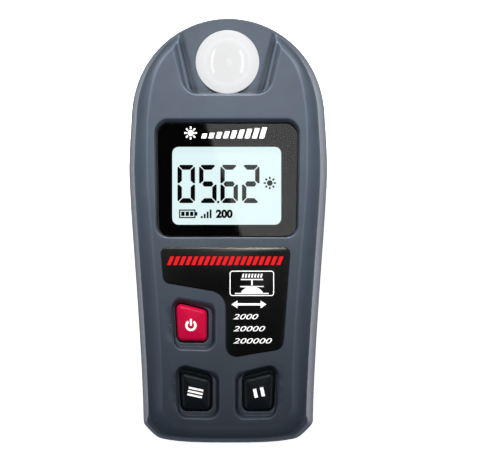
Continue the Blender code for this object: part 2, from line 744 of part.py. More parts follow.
def make_main_board():
    """The board follows the case at a constant distance, between two straight ends."""
    inset = 4.3 * MM
    heights = [y * MM for y in (-57.2, -36.0, -12.0, 8.0, 24.0, 34.0, 39.0)]
    right = [Vector((half_width(y) - inset, y)) for y in heights]
    outline = right + [Vector((-p.x, p.y)) for p in reversed(right)]
    holes = screw_holes(BOARD_POSTS, 1.2 * MM)
    plate("main_board", [outline, *holes], BOARD_LOW_Z, BOARD_HIGH_Z, BOARD_GREEN)
    top = BOARD_HIGH_Z + CLEAR
    chip_at = Vector((-9.0, -12.0)) * MM
    cylinder("processor_cap", chip_at, 5.0 * MM, top, top + 1.5 * MM, EPOXY, 20, 2.6 * MM)
    cylinder("capacitor", Vector((4.5, -12.5)) * MM, 2.5 * MM, top, top + 5.0 * MM, WIRE_BLACK, 16)
    crystal = rounded(rectangle(9.5, -14.2, 18.5, -10.6, 1.7), steps=3)
    plate("crystal", [crystal], top, top + 2.6 * MM, STEEL)


def make_display():
    low = BOARD_HIGH_Z + CLEAR
    frame = rounded(rectangle(-22.9, -3.6, 22.9, 32.0, 1.2), steps=2)
    room = rounded(rectangle(-21.2, -1.9, 21.2, 30.3, 0.4), steps=1)
    plate("display_frame", [frame, room], low, 21.4 * MM, WHITE_PLASTIC)
    box("backlight_panel", (-19.5, 1.7, low / MM), (19.5, 29.6, 19.0), WHITE_PLASTIC)
    box("zebra_connector", (-19.0, -1.2, low / MM), (19.0, 1.1, 19.0), GREY_RUBBER)
    box("lcd_glass", (-20.6, -1.3, 19.3), (20.6, 29.8, 21.3), LCD_GLASS)


# ---------------------------------------------------------------- batteries


def cell_profile():
    """An AAA cell standing on its flat end, with its raised contact on top."""
    nub_r, nub = 1.9 * MM, 0.8 * MM
    body = CELL_LENGTH - nub
    return [
        (0.0, CELL_LENGTH),
        (nub_r, CELL_LENGTH),
        (nub_r, body),
        (CELL_R - 0.3 * MM, body),
        (CELL_R, body - 0.3 * MM),
        (CELL_R, 0.3 * MM),
        (CELL_R - 0.3 * MM, 0.0),
        (0.0, 0.0),
    ]


def spring_points(x, narrow_y, wide_y):
    """A conical spring from its wide end by the contact plate to its narrow end by the cell."""
    turns, per_turn, wide, narrow = 3.0, 10, 3.4, 2.2
    count = int(turns * per_turn)
    points = []
    for k in range(count + 1):
        share = k / count
        radius, angle = wide + (narrow - wide) * share, 2 * pi * turns * share
        y = wide_y + (narrow_y - wide_y) * share
        points.append((x + radius * cos(angle), y, CELL_Z / MM + radius * sin(angle)))
    return points


def contact(name, x0, x1, low_y, tongue=None):
    """A contact plate across one or two cells, with a tongue out of the bay where it has one."""
    thick = CONTACT_THICK / MM
    plate_box = box(name, (x0, low_y, 2.6), (x1, low_y + thick, 12.2), SPRING_STEEL)
    if tongue:
        x, y0, y1 = tongue
        fuse(plate_box, box(f"{name}_tongue", (x - 1.2, y0, 9.2), (x + 1.2, y1, 9.7)))


def make_cell(index, facing):
    """A cell and the spring behind its flat end. Facing 1 turns its raised contact to +Y."""
    clear, thick = CLEAR / MM, CONTACT_THICK / MM
    low_y, high_y = BAY_LOW_Y / MM, BAY_HIGH_Y / MM
    plate_reach = clear + thick
    spring_room = high_y - low_y - CELL_LENGTH / MM - 2 * plate_reach - clear
    x = (index - 1) * CELL_PITCH / MM
    bay_end = low_y if facing > 0 else high_y
    flat_y = bay_end + facing * (plate_reach + spring_room)
    cell = turned(f"battery_{index + 1}", cell_profile(), CELL_WRAP, 14)
    cell.location = (x * MM, flat_y * MM, CELL_Z)
    cell.rotation_euler = (-facing * pi / 2, 0.0, 0.0)
    wide_y = bay_end + facing * (plate_reach + clear + 0.3)
    narrow_y = flat_y - facing * (clear + 0.3)
    spring = spring_points(x, narrow_y, wide_y)
    tube(f"battery_spring_{index + 1}", spring, 0.3 * MM, SPRING_STEEL, 0, 1)


def make_batteries():
    """The middle cell is turned round, so that two bridges join the three in series."""
    for index, facing in enumerate((1, -1, 1)):
        make_cell(index, facing)
    pitch, half = CELL_PITCH / MM, 4.4
    low_y = BAY_LOW_Y / MM + CLEAR / MM
    high_y = BAY_HIGH_Y / MM - CLEAR / MM - CONTACT_THICK / MM
    contact("contact_positive", -pitch - half, -pitch + half, high_y, (-pitch, high_y + 0.1, 1.2))
    contact("contact_upper_bridge", -half, pitch + half, high_y)
    contact("contact_lower_bridge", -pitch - half, half, low_y)
    contact("contact_negative", pitch - half, pitch + half, low_y, (pitch, -60.2, low_y + 0.3))
    red = ((-pitch, 2.3, 9.5), (-pitch, 4.6, 10.2), (-pitch, 6.2, 12.4), (-pitch, 6.4, 14.9))
    black = ((pitch, -61.1, 9.5), (pitch, -62.8, 11.2), (pitch, -61.8, 14.0), (pitch, -58.0, 16.0))
    tube("battery_wire_red", red, 0.6 * MM, WIRE_RED)
    tube("battery_wire_black", black, 0.6 * MM, WIRE_BLACK)


def main():
    make_front_shell()
    make_rear_shell()
    make_battery_door()
    make_screws()
    make_window()
    make_keys()
    make_sensor()
    make_main_board()
    make_display()
    make_batteries()


main()
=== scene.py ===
"""The look of the handheld light meter: finely moulded shells, rubber keys, dome, display and print.

Outlines and heights are in millimetres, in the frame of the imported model: +X across the face,
+Y towards the sensor, +Z out of the face. Meshes are scaled to metres as they are made.
"""

import json
from functools import partial
from math import cos, pi, radians, sin, tan

import bmesh
import bpy
import numpy as np
from mathutils import Matrix, Vector
from mathutils.geometry import delaunay_2d_cdt, interpolate_bezier


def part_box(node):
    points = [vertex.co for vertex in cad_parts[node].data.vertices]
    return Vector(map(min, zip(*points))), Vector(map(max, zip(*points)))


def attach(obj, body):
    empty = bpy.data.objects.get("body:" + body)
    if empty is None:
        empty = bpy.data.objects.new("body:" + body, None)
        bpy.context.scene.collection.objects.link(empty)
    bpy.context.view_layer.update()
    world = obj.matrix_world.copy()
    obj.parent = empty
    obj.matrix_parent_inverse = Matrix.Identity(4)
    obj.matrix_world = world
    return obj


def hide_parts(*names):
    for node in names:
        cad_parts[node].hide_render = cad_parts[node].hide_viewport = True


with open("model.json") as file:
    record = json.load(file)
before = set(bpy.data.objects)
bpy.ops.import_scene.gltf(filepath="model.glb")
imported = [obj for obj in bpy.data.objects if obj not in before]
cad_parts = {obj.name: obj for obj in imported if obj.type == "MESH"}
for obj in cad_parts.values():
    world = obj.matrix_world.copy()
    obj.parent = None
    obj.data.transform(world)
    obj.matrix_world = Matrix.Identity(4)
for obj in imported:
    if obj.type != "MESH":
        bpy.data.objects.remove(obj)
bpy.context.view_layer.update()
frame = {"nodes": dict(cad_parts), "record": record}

MM = 0.001
NODES = frame["nodes"]

# ---------------------------------------------------------------- design dimensions

FACE_Z, EDGE_Z, SEAM_FRONT_Z, SEAM_REAR_Z = 26.0, 23.3, 12.5, 12.2
BACK_INSET = 4.3
LEAN_LEAST, LEAN_MORE = 0.75, 1.35
WALL_STEPS = 14

# The shoulder climbs as a power of the way across it. A lip rises at the lower end.
SHOULDER_HOLLOW, SHOULDER_REACH = 1.6, 4.2
LIP_RISE, LIP_TOP_Y, LIP_FADE = 0.3, -57.0, 5.0

# Half outlines from the top round the right side to the bottom, as Bezier knots:
# x, y, heading in degrees, reach of the handle behind and of the one ahead.
OUTER_KNOTS = (
    (0.0, 68.5, 0, 0.0, 8.2),
    (21.9, 59.4, -45, 8.2, 8.2),
    (31.2, 37.6, -87, 8.2, 6.0),
    (32.0, 20.0, -90, 6.0, 12.0),
    (27.4, -61.4, -91, 28.0, 1.0),
    (25.2, -64.6, -134, 2.0, 1.8),
    (21.4, -67.2, -168, 1.3, 6.0),
    (0.0, -68.5, -180, 9.0, 0.0),
)
RIDGE_KNOTS = (
    (0.0, 64.8, 0, 0.0, 7.3),
    (19.0, 57.0, -48, 7.3, 6.5),
    (25.2, 40.0, -83, 6.5, 6.0),
    (25.7, 20.0, -90, 6.0, 12.0),
    (20.9, -55.0, -90, 26.0, 1.6),
    (19.2, -59.6, -134, 2.2, 1.8),
    (15.5, -61.8, -172, 1.5, 5.0),
    (0.0, -62.6, -180, 7.0, 0.0),
)
KNOT_STEPS = (18, 18, 9, 30, 9, 9, 14)

LENS = ((22.6, 34.4, 3.9), (-22.6, 34.4, 3.9), (-22.0, -1.8, 3.4), (22.0, -1.8, 3.4))
RECESS = ((23.6, 36.1, 4.6), (-23.6, 36.1, 4.6), (-22.9, -2.2, 3.8), (22.9, -2.2, 3.8))
VIEW = ((17.3, 26.9, 2.0), (-17.7, 26.9, 2.0), (-17.7, 1.9, 2.0), (17.3, 1.9, 2.0))
LABEL = (
    (20.3, -5.5, 1.9),
    (-21.4, -5.5, 1.9),
    (-20.4, -16.6, 2.4),
    (-0.4, -20.1, 5.5),
    (-0.4, -41.0, 3.4),
    (17.9, -37.9, 3.2),
)
KEY = ((5.0, 3.8, 1.7), (-5.0, 6.3, 1.6), (-4.4, -6.0, 1.8), (5.0, -6.1, 1.6))
KEY_HOLE = ((5.0, 4.5, 1.6), (-5.0, 7.0, 1.6), (-4.4, -6.0, 1.8), (5.0, -6.1, 1.6))
WELL = ((8.0, 6.1, 3.0), (-6.2, 8.6, 2.6), (-5.6, -8.9, 3.0), (8.0, -9.2, 3.4))
WELL_FLOOR = ((6.8, 4.5, 2.2), (-5.9, 6.6, 2.0), (-5.3, -7.9, 2.4), (6.8, -8.1, 2.6))
KEY_PLACES = {
    "power_key": (-11.5, -29.4, 1),
    "mode_key": (-10.2, -51.4, 1),
    "hold_key": (10.2, -51.4, -1),
}
# The scoop's walls from its floor up: low edge, half width, lean, corner radius, height.
SCOOP_WALLS = (
    (44.4, 9.2, 0.27, 1.2, 22.3),
    (44.25, 10.0, 0.26, 1.6, 22.6),
    (44.1, 11.2, 0.24, 2.2, 23.5),
    (43.95, 12.0, 0.225, 3.0, 24.7),
    (43.8, 12.9, 0.22, 4.5, 24.85),
    (43.5, 13.9, 0.24, 6.0, 26.1),
)
DOME_Y, DOME_R, DOME_HOLE_R, DOME_TOP = 54.25, 10.2, 10.32, 29.8
DOOR = ((18.6, -3.0, 2.7), (-18.6, -3.0, 2.7), (-18.6, -56.8, 2.7), (18.6, -56.8, 2.7))
BAY = ((17.4, -4.4, 0.6), (-17.4, -4.4, 0.6), (-17.4, -55.3, 0.6), (17.4, -55.3, 0.6))
CASE_SCREWS = ((22.3, 43.0), (18.5, -60.8))

# Painted highlights and painted shade, as shares of the plastic's colour, how far round each point
# it looks for edges, and the height of an edge, the depth of a hollow and the slope of a wall that
# get all of it. Highlights go on edges, the ridge and the lower lip; shade goes in creases, hollows
# and on walls.
EDGE_HIGHLIGHT, HOLLOW_SHADE, WALL_SHADE = 0.6, 0.3, 0.42
RIDGE_HIGHLIGHT, LIP_HIGHLIGHT = 0.28, 1.2
NEAR_REACH, WIDE_REACH = 0.4, 1.8
FULL_EDGE, FULL_HOLLOW, FULL_SLOPE = 0.09, 0.7, 1.2

# Print is a film that lies just over its ground.
PRINT_THICK, PRINT_GAP = 0.03, 0.01
# How rounded() draws the outlines of lofts, whose straight sides stay whole.
WHOLE = {"steps": 10, "spacing": 99.0}

# Where on the face the camera looks, from how far, turned by how many degrees to the right,
# and the width that it frames there.
LOOK_AT, LOOK_DISTANCE, LOOK_TURN, FRAME_WIDTH = (7.33, 0.52, FACE_Z), 1494.0, 1.2, 160.306

# ---------------------------------------------------------------- flat outlines


def whole_curve(knots):
    """The closed outline, anticlockwise, from the knots of its right half."""
    right = []
    for start, end, steps in zip(knots, knots[1:], KNOT_STEPS):
        ahead, behind = radians(start[2]), radians(end[2])
        a, d = Vector(start[:2]), Vector(end[:2])
        b = a + start[4] * Vector((cos(ahead), sin(ahead)))
        c = d - end[3] * Vector((cos(behind), sin(behind)))
        right += interpolate_bezier(a, b, c, d, steps + 1)[:-1]
    left = [(-p.x, p.y) for p in right[1:]]
    return np.array(left + [knots[-1][:2]] + [tuple(p) for p in reversed(right)])


OUTER = whole_curve(OUTER_KNOTS)
RIDGE = whole_curve(RIDGE_KNOTS)
INWARD = (RIDGE - OUTER) / np.linalg.norm(RIDGE - OUTER, axis=1)[:, None]


def normals(outline):
    """Unit vectors out of an anticlockwise outline at its points."""
    along = np.roll(outline, -1, axis=0) - np.roll(outline, 1, axis=0)
    along /= np.linalg.norm(along, axis=1)[:, None]
    return np.column_stack((along[:, 1], -along[:, 0]))


def ring(inset):
    """The outline moved in by that much."""
    return OUTER + INWARD * inset


def edge_widths():
    """How far the wall leans in at its top, along INWARD: more at the sides than at the ends."""
    inward = -normals(OUTER)
    lean = LEAN_LEAST + LEAN_MORE * inward[:, 0] ** 2
    return lean / (INWARD * inward).sum(axis=1)


EDGE_WIDTH = edge_widths()


def edge_ring(share=1.0):
    """The outline moved in by that share of the wall's lean."""
    return OUTER + INWARD * (EDGE_WIDTH * share)[:, None]


def rounded(corners, grow=0.0, steps=8, at=(0.0, 0.0), side=1, spacing=2.0):
    """A polygon with round corners, anticlockwise. grow moves every edge outwards."""
    count = len(corners)
    base = [Vector(c[:2]) for c in corners]
    outline = []
    for i, corner in enumerate(corners):
        before = (base[i] - base[i - 1]).normalized()
        after = (base[(i + 1) % count] - base[i]).normalized()
        turn = before.angle_signed(after)
        normal = Vector((before.y, -before.x)) + Vector((after.y, -after.x))
        tip = base[i] + normal.normalized() * grow / cos(turn / 2)
        bend = 1 if turn < 0 else -1
        radius = max(corner[2] + grow * bend, 0.15)
        start = tip - before * radius * tan(abs(turn) / 2)
        centre = start + Vector((-before.y, before.x)) * radius * bend
        for k in range(steps + 1):
            swing = Matrix.Rotation(abs(turn) * k / steps * bend, 2)
            outline.append(centre + swing @ (start - centre))
    if side < 0:
        outline = [Vector((-p.x, p.y)) for p in reversed(outline)]
    return subdivided(np.array([tuple(p) for p in outline]) + np.array(at), spacing)


def subdivided(outline, spacing):
    """The same outline with its long edges cut up."""
    points = []
    for a, b in zip(outline, np.roll(outline, -1, axis=0)):
        pieces = max(1, round(np.linalg.norm(b - a) / spacing))
        points += [a + (b - a) * k / pieces for k in range(pieces)]
    return np.array(points)


def directions(angles):
    """A unit vector for each angle."""
    return np.stack((np.cos(angles), np.sin(angles)), axis=1)


def circle(centre, radius, steps=72):
    return np.array(centre) + radius * directions(np.arange(steps) * 2 * pi / steps)


def moved_out(outline, distance):
    """The outline with each point moved a little along its normal."""
    return outline + distance * normals(outline)


def signed_distance(points, outline):
    """How far each point is outside the outline; negative inside."""
    a, b = outline, np.roll(outline, -1, axis=0)
    along = b - a
    nearest = np.full(len(points), np.inf)
    crossings = np.zeros(len(points), int)
    for (ax, ay), (dx, dy) in zip(a, along):
        rx, ry = points[:, 0] - ax, points[:, 1] - ay
        t = np.clip((rx * dx + ry * dy) / (dx * dx + dy * dy), 0, 1)
        nearest = np.minimum(nearest, np.hypot(rx - t * dx, ry - t * dy))
        spans = (ry < 0) != (ry - dy < 0)
        crossings += spans & (rx < ry * dx / (dy if dy else 1.0))
    return np.where(crossings % 2, -nearest, nearest)


# ---------------------------------------------------------------- height fields


def smooth_min(a, b, blend):
    overlap = np.maximum(blend - np.abs(a - b), 0.0) / blend
    return np.minimum(a, b) - overlap * overlap * blend / 4


class Recess:
    """A pocket whose wall climbs through nested outlines, each (outline, height)."""

    def __init__(self, levels, fillet=0.12, blend=0.25, climb=4.0):
        self.outlines = [outline for outline, _ in levels]
        self.heights = [height for _, height in levels]
        self.fillet, self.blend, self.climb = fillet, blend, climb

    def height(self, points):
        """The wall's height over each point, and far above the face outside the pocket."""
        low = self.outlines[-1].min(axis=0) - 1.5
        high = self.outlines[-1].max(axis=0) + 1.5
        near = np.all((points > low) & (points < high), axis=1)
        result = np.full(len(points), 99.0)
        if near.any():
            result[near] = self.wall(points[near])
        return result

    def wall(self, points):
        away = np.stack([signed_distance(points, o) for o in self.outlines])
        count = len(self.outlines)
        step = np.clip((away >= 0).sum(axis=0) - 1, -1, count - 1)
        index = np.arange(len(points))
        inner = away[np.clip(step, 0, count - 1), index]
        outer = away[np.clip(step + 1, 0, count - 1), index]
        width = np.where((step < 0) | (step == count - 1), 1.0, np.maximum(inner - outer, 0.05))
        travel = np.where(step < 0, outer, step + inner / width)
        marks = [*range(count), count + 19]
        heights = [*self.heights, self.heights[-1] + 20 * self.climb]
        spread = np.linspace(-self.fillet, self.fillet, 7)
        return np.mean([np.interp(travel + s / width, marks, heights) for s in spread], axis=0)

    def lines(self):
        """Mesh lines along the pocket's bends, with one close by on each side."""
        found = []
        for outline in self.outlines:
            found += [moved_out(outline, d) for d in (-0.4, -self.fillet, 0.0, self.fillet, 0.4)]
        return found


def offsets(corners, levels, **place):
    """Levels of one outline, given as (grow, height)."""
    return [(rounded(corners, grow, **place), height) for grow, height in levels]


def mesh_of(name, vertices, faces, look, auto_smooth=40):
    """A smooth-shaded object from millimetre coordinates."""
    mesh = bpy.data.meshes.new(name)
    mesh.from_pydata([tuple(v) for v in np.asarray(vertices, float) * MM], [], faces)
    mesh.validate()
    mesh.shade_smooth()
    mesh.set_sharp_from_angle(angle=radians(auto_smooth))
    mesh.materials.append(look)
    obj = bpy.data.objects.new(name, mesh)
    bpy.context.scene.collection.objects.link(obj)
    return obj


def triangulated(boundary, lines, loose):
    """Triangles inside the boundary, with edges along every line.

    Returns the points and the triangles.
    """
    points, edges = [], []
    for line in [boundary, *lines]:
        start, count = len(points), len(line)
        points += [Vector(p) for p in line]
        edges += [(start + k, start + (k + 1) % count) for k in range(count)]
    points += [Vector(p) for p in loose]
    flat, _, faces, *_ = delaunay_2d_cdt(points, edges, [], 0, 5e-3)
    flat = np.array([tuple(p) for p in flat])
    faces = np.array([f for f in faces if len(f) == 3])
    centres = flat[faces].mean(axis=1)
    inside = signed_distance(centres, boundary) < 0
    used, faces = np.unique(faces[inside], return_inverse=True)
    return flat[used], faces.reshape(-1, 3)


def rim_loop(faces):
    """The vertices along the open edge of the triangles, in order."""
    sides = {}
    for a, b, c in faces:
        for start, end in ((a, b), (b, c), (c, a)):
            sides[(start, end)] = True
    follow = {a: b for a, b in sides if (b, a) not in sides}
    first = next(iter(follow))
    loop, here = [first], follow[first]
    while here != first:
        loop.append(here)
        here = follow[here]
    return loop


def ring_place(point, line):
    """Where a point on that ring lies along it: index of the side and share of it."""
    a, b = line, np.roll(line, -1, axis=0)
    d = b - a
    t = np.clip(((point - a) * d).sum(1) / (d * d).sum(1), 0, 1)
    best = np.argmin(np.linalg.norm(point - a - t[:, None] * d, axis=1))
    return best, t[best]


def shell(name, height, form, lines, rings, look, up):
    """A closed shell: a height field inside the first ring, and the other rings down its wall.

    Each of the others is (outline, share of the way down to the seam, height at the seam).
    form is the height that the painted light and shade follow.
    """
    boundary, walls = rings[0], rings[1:]
    loose = fill_points(boundary, 2.4)
    loose = loose[np.abs(signed_distance(loose, RIDGE)) > 1.3]
    flat, faces = triangulated(boundary, lines, loose)
    z = height(flat)
    vertices = [np.column_stack((flat, z))]
    loop = rim_loop(faces)
    places = [ring_place(flat[i], boundary) for i in loop]
    rows, start = [loop], len(flat)
    for line, share, low in walls:
        after = np.roll(line, -1, axis=0)
        xy = np.array([line[i] + (after[i] - line[i]) * t for i, t in places])
        top = z[loop]
        vertices.append(np.column_stack((xy, top + (low - top) * share)))
        rows.append(list(range(start, start + len(loop))))
        start += len(loop)
    sides = []
    for upper, lower in zip(rows, rows[1:]):
        for k in range(len(loop)):
            m = (k + 1) % len(loop)
            sides.append((upper[k], lower[k], lower[m], upper[m]))
    everything = [tuple(f) for f in faces] + sides + [tuple(reversed(rows[-1]))]
    if not up:
        everything = [tuple(reversed(f)) for f in everything]
    made = mesh_of(name, np.vstack(vertices), everything, look)
    # Painted light and shade of the relief, per point, for the plastic's colour.
    shade_and_light = np.zeros(start)
    shade_and_light[:len(flat)] = wear(flat, form)
    made.data.attributes.new("wear", "FLOAT", "POINT").data.foreach_set("value", shade_and_light)
    return made


def wear(points, form):
    """Painted light and shade: how much lighter (highlights on edges) or darker (shade on walls,
    creases and hollows) the plastic is coloured.
    """
    here = form(points)
    ways = directions(np.arange(8) * pi / 4)
    near = np.stack([form(points + NEAR_REACH * way) for way in ways])
    wide = np.mean([form(points + WIDE_REACH * way) for way in ways], axis=0)
    edge = np.clip((here - near.mean(axis=0)) / FULL_EDGE, -1.0, 1.0)
    hollow = np.clip((wide - here) / FULL_HOLLOW, 0.0, 1.0)
    uphill = near.T @ ways / (4 * NEAR_REACH)
    slope = np.linalg.norm(uphill, axis=1)
    on_face = np.clip(0.5 - signed_distance(points, RIDGE), 0.0, 1.0)
    # Walls that face the sensor end, towards the key light, get painted light; other steep walls get
    # painted shade.
    shade_by_facing = np.clip(1.0 + 1.5 * np.minimum(uphill[:, 1], 0.0) / (slope + 1e-6), -0.5, 1.0)
    steep = np.clip(slope / FULL_SLOPE, 0.0, 1.0) * on_face * shade_by_facing
    shade_and_light = np.where(edge > 0, EDGE_HIGHLIGHT * edge, HOLLOW_SHADE * edge)
    return shade_and_light - HOLLOW_SHADE * hollow - WALL_SHADE * steep + ridge_and_lip_highlights(points)


def ridge_and_lip_highlights(points):
    """Painted highlights along the ridge and on the lip of the lower end."""
    ridge = np.exp(-((signed_distance(points, RIDGE) / 0.28) ** 2))
    ridge *= np.clip((points[:, 1] + 58.0) / 8.0, 0.0, 1.0)
    ridge *= np.clip((58.0 - points[:, 1]) / 8.0, 0.0, 1.0)
    lip = np.clip((1.9 + signed_distance(points, OUTER)) / 0.5, 0.0, 1.0)
    lip *= np.clip((-61.0 - points[:, 1]) / 3.0, 0.0, 1.0)
    return RIDGE_HIGHLIGHT * ridge + LIP_HIGHLIGHT * lip


def fill_points(boundary, pitch):
    """A loose triangular grid well inside the boundary."""
    low, high = boundary.min(axis=0), boundary.max(axis=0)
    rows = []
    for j, y in enumerate(np.arange(low[1], high[1], pitch * 0.87)):
        x = np.arange(low[0] + (j % 2) * pitch / 2, high[0], pitch)
        rows.append(np.column_stack((x, np.full(len(x), y))))
    points = np.vstack(rows)
    return points[signed_distance(points, boundary) < -1.0]


# ---------------------------------------------------------------- materials


def shader_of(material):
    return material.node_tree.nodes["Principled BSDF"]


def material(name, colour, roughness, **sockets):
    """A plain material. sockets are more Principled inputs, with _ for each space."""
    made = bpy.data.materials.new(name)
    made.use_nodes = True
    shader = shader_of(made)
    shader.inputs["Base Color"].default_value = (*colour, 1.0)
    shader.inputs["Roughness"].default_value = roughness
    for socket, value in sockets.items():
        shader.inputs[socket.replace("_", " ")].default_value = value
    return made


def noise(tree, size, detail=2.0, stretch=(1.0, 1.0, 1.0)):
    """A noise whose lumps are about that size in millimetres."""
    coords = tree.nodes.new("ShaderNodeTexCoord")
    mapping = tree.nodes.new("ShaderNodeMapping")
    mapping.inputs["Scale"].default_value = stretch
    texture = tree.nodes.new("ShaderNodeTexNoise")
    texture.inputs["Scale"].default_value = 1.0 / (size * MM)
    texture.inputs["Detail"].default_value = detail
    tree.links.new(coords.outputs["Object"], mapping.inputs["Vector"])
    tree.links.new(mapping.outputs["Vector"], texture.inputs["Vector"])
    return texture.outputs["Fac"]


def ramp(tree, value, low, high):
    """The value spread between two colours."""
    node = tree.nodes.new("ShaderNodeValToRGB")
    node.color_ramp.elements[0].position = 0.3
    node.color_ramp.elements[1].position = 0.7
    node.color_ramp.elements[0].color = (*low, 1.0)
    node.color_ramp.elements[1].color = (*high, 1.0)
    tree.links.new(value, node.inputs["Fac"])
    return node.outputs["Color"]


def vary_colour(made, size, amount, detail=3.0):
    """Lightens and darkens the colour in soft patches."""
    tree, shader = made.node_tree, shader_of(made)
    base = shader.inputs["Base Color"].default_value[:3]
    low = tuple(c * (1 - amount) for c in base)
    high = tuple(min(c * (1 + amount), 1.0) for c in base)
    colour = ramp(tree, noise(tree, size, detail), low, high)
    tree.links.new(colour, shader.inputs["Base Color"])


def vary_roughness(made, size, amount, detail=3.0):
    """Spreads the roughness round its value in patches of that size in millimetres."""
    tree, shader = made.node_tree, shader_of(made)
    middle = shader.inputs["Roughness"].default_value
    spread = tree.nodes.new("ShaderNodeMapRange")
    spread.inputs["From Min"].default_value = 0.3
    spread.inputs["From Max"].default_value = 0.7
    spread.inputs["To Min"].default_value = max(middle - amount, 0.02)
    spread.inputs["To Max"].default_value = middle + amount
    tree.links.new(noise(tree, size, detail), spread.inputs["Value"])
    tree.links.new(spread.outputs["Result"], shader.inputs["Roughness"])


def grain(made, size, depth, detail=2.0, stretch=(1.0, 1.0, 1.0)):
    """A moulded, brushed or rubbery surface: bumps of that size and depth in millimetres."""
    tree = made.node_tree
    bump = tree.nodes.new("ShaderNodeBump")
    bump.inputs["Strength"].default_value = 1.0
    bump.inputs["Distance"].default_value = depth * MM
    tree.links.new(noise(tree, size, detail, stretch), bump.inputs["Height"])
    tree.links.new(bump.outputs["Normal"], shader_of(made).inputs["Normal"])


CASE_COLOUR = (0.049, 0.067, 0.095)


def case_plastic():
    """Blue-grey ABS with a fine spark-eroded texture, with painted highlights on its edges and
    painted shade in its hollows and on its walls.
    """
    made = material("case_plastic", CASE_COLOUR, 0.42, Specular_IOR_Level=0.4)
    tree, shader = made.node_tree, shader_of(made)
    mottle = ramp(tree, noise(tree, 9.0), (0.95, 0.95, 0.95), (1.05, 1.05, 1.05))
    # The painted light and shade, per point, scales the plastic's colour.
    shade_and_light = tree.nodes.new("ShaderNodeAttribute")
    shade_and_light.attribute_name = "wear"
    factor = tree.nodes.new("ShaderNodeMath")
    factor.operation = "ADD"
    factor.inputs[1].default_value = 1.0
    tree.links.new(shade_and_light.outputs["Fac"], factor.inputs[0])
    tint = tree.nodes.new("ShaderNodeVectorMath")
    tint.operation = "SCALE"
    tint.inputs[0].default_value = CASE_COLOUR
    tree.links.new(factor.outputs["Value"], tint.inputs["Scale"])
    blend = tree.nodes.new("ShaderNodeVectorMath")
    blend.operation = "MULTIPLY"
    tree.links.new(tint.outputs["Vector"], blend.inputs[0])
    tree.links.new(mottle, blend.inputs[1])
    tree.links.new(blend.outputs["Vector"], shader.inputs["Base Color"])
    vary_roughness(made, 1.6, 0.05)
    grain(made, 0.35, 0.012)
    return made


def rubber(name, colour, roughness, gloss=0.4):
    made = material(name, colour, roughness, Specular_IOR_Level=gloss)
    vary_roughness(made, 1.2, 0.05)
    grain(made, 0.5, 0.006)
    return made


def ink(name, colour, glow):
    """Bright screen-printed ink. A little glow keeps it clear in the shade of the edges."""
    made = rubber(name, colour, 0.6, 0.1)
    shader_of(made).inputs["Emission Color"].default_value = (*colour, 1.0)
    shader_of(made).inputs["Emission Strength"].default_value = glow
    return made


def metal(name, colour, roughness, size=0.6):
    made = material(name, colour, roughness, Metallic=1.0)
    vary_roughness(made, size, 0.06)
    grain(made, size, 0.003, stretch=(1.0, 0.15, 1.0))
    return made


def clear_window():
    """Clear moulded acrylic: it mirrors a little, and the rest passes straight through."""
    made = bpy.data.materials.new("clear_window")
    made.use_nodes = True
    tree = made.node_tree
    tree.nodes.remove(shader_of(made))
    through = tree.nodes.new("ShaderNodeBsdfTransparent")
    mirror = tree.nodes.new("ShaderNodeBsdfGlossy")
    mirror.inputs["Roughness"].default_value = 0.01
    share = tree.nodes.new("ShaderNodeFresnel")
    share.inputs["IOR"].default_value = 1.12
    mix = tree.nodes.new("ShaderNodeMixShader")
    tree.links.new(share.outputs["Fac"], mix.inputs["Fac"])
    tree.links.new(through.outputs["BSDF"], mix.inputs[1])
    tree.links.new(mirror.outputs["BSDF"], mix.inputs[2])
    tree.links.new(mix.outputs["Shader"], tree.nodes["Material Output"].inputs["Surface"])
    return made


def printed_black():
    made = material("black_print", (0.0025, 0.0025, 0.003), 0.34, Specular_IOR_Level=0.25)
    vary_roughness(made, 0.8, 0.04)
    grain(made, 0.25, 0.002)
    return made


def lcd_glass():
    """The pale green ground of the display, lit from behind."""
    made = material("lcd_ground", (0.02, 0.03, 0.03), 0.02)
    vary_colour(made, 14.0, 0.015)
    shader = shader_of(made)
    shader.inputs["Emission Color"].default_value = (0.80, 0.975, 0.985, 1.0)
    shader.inputs["Emission Strength"].default_value = 0.905
    return made


def opal():
    """The dome: opal acrylic, polished. It glows evenly, painted light that flattens its shading."""
    made = material("opal", (0.36, 0.36, 0.36), 0.08)
    shader = shader_of(made)
    # The glow is painted light that evens the dome's shading.
    shader.inputs["Emission Color"].default_value = (1.0, 1.0, 1.0, 1.0)
    shader.inputs["Emission Strength"].default_value = 0.67
    vary_roughness(made, 3.0, 0.02)
    return made


CASE = case_plastic()
WINDOW = clear_window()
MASK = material("mask_print", (0.0006, 0.0006, 0.0006), 0.02)
BLACK_PRINT = printed_black()
LCD = lcd_glass()
GLOWING_OPAL = opal()
RED_RUBBER = rubber("red_rubber", (0.52, 0.0012, 0.044), 0.42, 0.1)
BLACK_RUBBER = rubber("black_rubber", (0.0016, 0.004, 0.0068), 0.42, 0.17)
INK_WHITE = ink("ink_white", (0.85, 0.85, 0.85), 0.45)
INK_TITLE = ink("ink_title", (0.85, 0.85, 0.85), 0.65)
INK_RED = ink("ink_red", (0.60, 0.006, 0.010), 0.1)
INK_LCD = material("ink_lcd", (0.0008, 0.0008, 0.001), 0.02)
STEEL = metal("zinc_steel", (0.62, 0.62, 0.64), 0.32)
NICKEL = metal("nickel_plate", (0.7, 0.68, 0.64), 0.24, 0.9)

# ---------------------------------------------------------------- front shell


def scoop_outline(low_y, half, lean, radius):
    """The scoop's outline at one height. It opens out past the sensor end."""
    top_y, top_radius = 72.0, 0.3
    top = half + lean * (top_y - low_y)
    upper = ((top, top_y, top_radius), (-top, top_y, top_radius))
    return rounded((*upper, (-half, low_y, radius), (half, low_y, radius)))


def key_place(name):
    x, y, side = KEY_PLACES[name]
    return {"at": (x, y), "side": side}


def key_hole(name):
    """The black keys' holes reach further up than the red key's."""
    return KEY if name == "power_key" else KEY_HOLE


